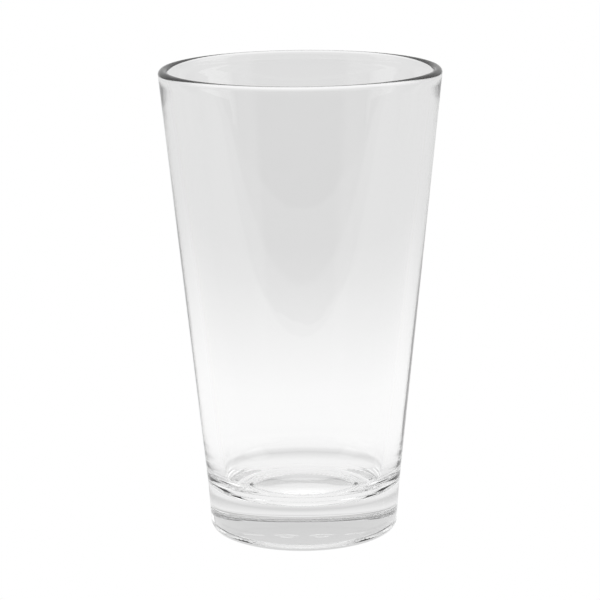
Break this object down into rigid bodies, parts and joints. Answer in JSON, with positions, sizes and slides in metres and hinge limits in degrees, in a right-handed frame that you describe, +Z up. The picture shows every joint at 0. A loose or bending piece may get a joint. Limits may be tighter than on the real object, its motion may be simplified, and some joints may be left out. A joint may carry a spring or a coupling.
{
  "type": "pint glass",
  "caption": "Straight-sided conical pint glass with a rounded lip, walls that thicken downwards and a heavy solid base on a stippled bearing ring.",
  "frame": {"origin": "centre of the bearing ring, on the table that the glass stands on", "axes": "+Z up along the axis of the glass, from the base to the lip; the plain marks under the base lie on the -Y side"},
  "size_m": [0.0888, 0.0888, 0.1492],
  "materials": {
    "glass": "clear colourless soda-lime glass, pressed and fire-polished"
  },
  "bodies": {
    "root": {"tumbler": "glass"}
  },
  "joints": []
}
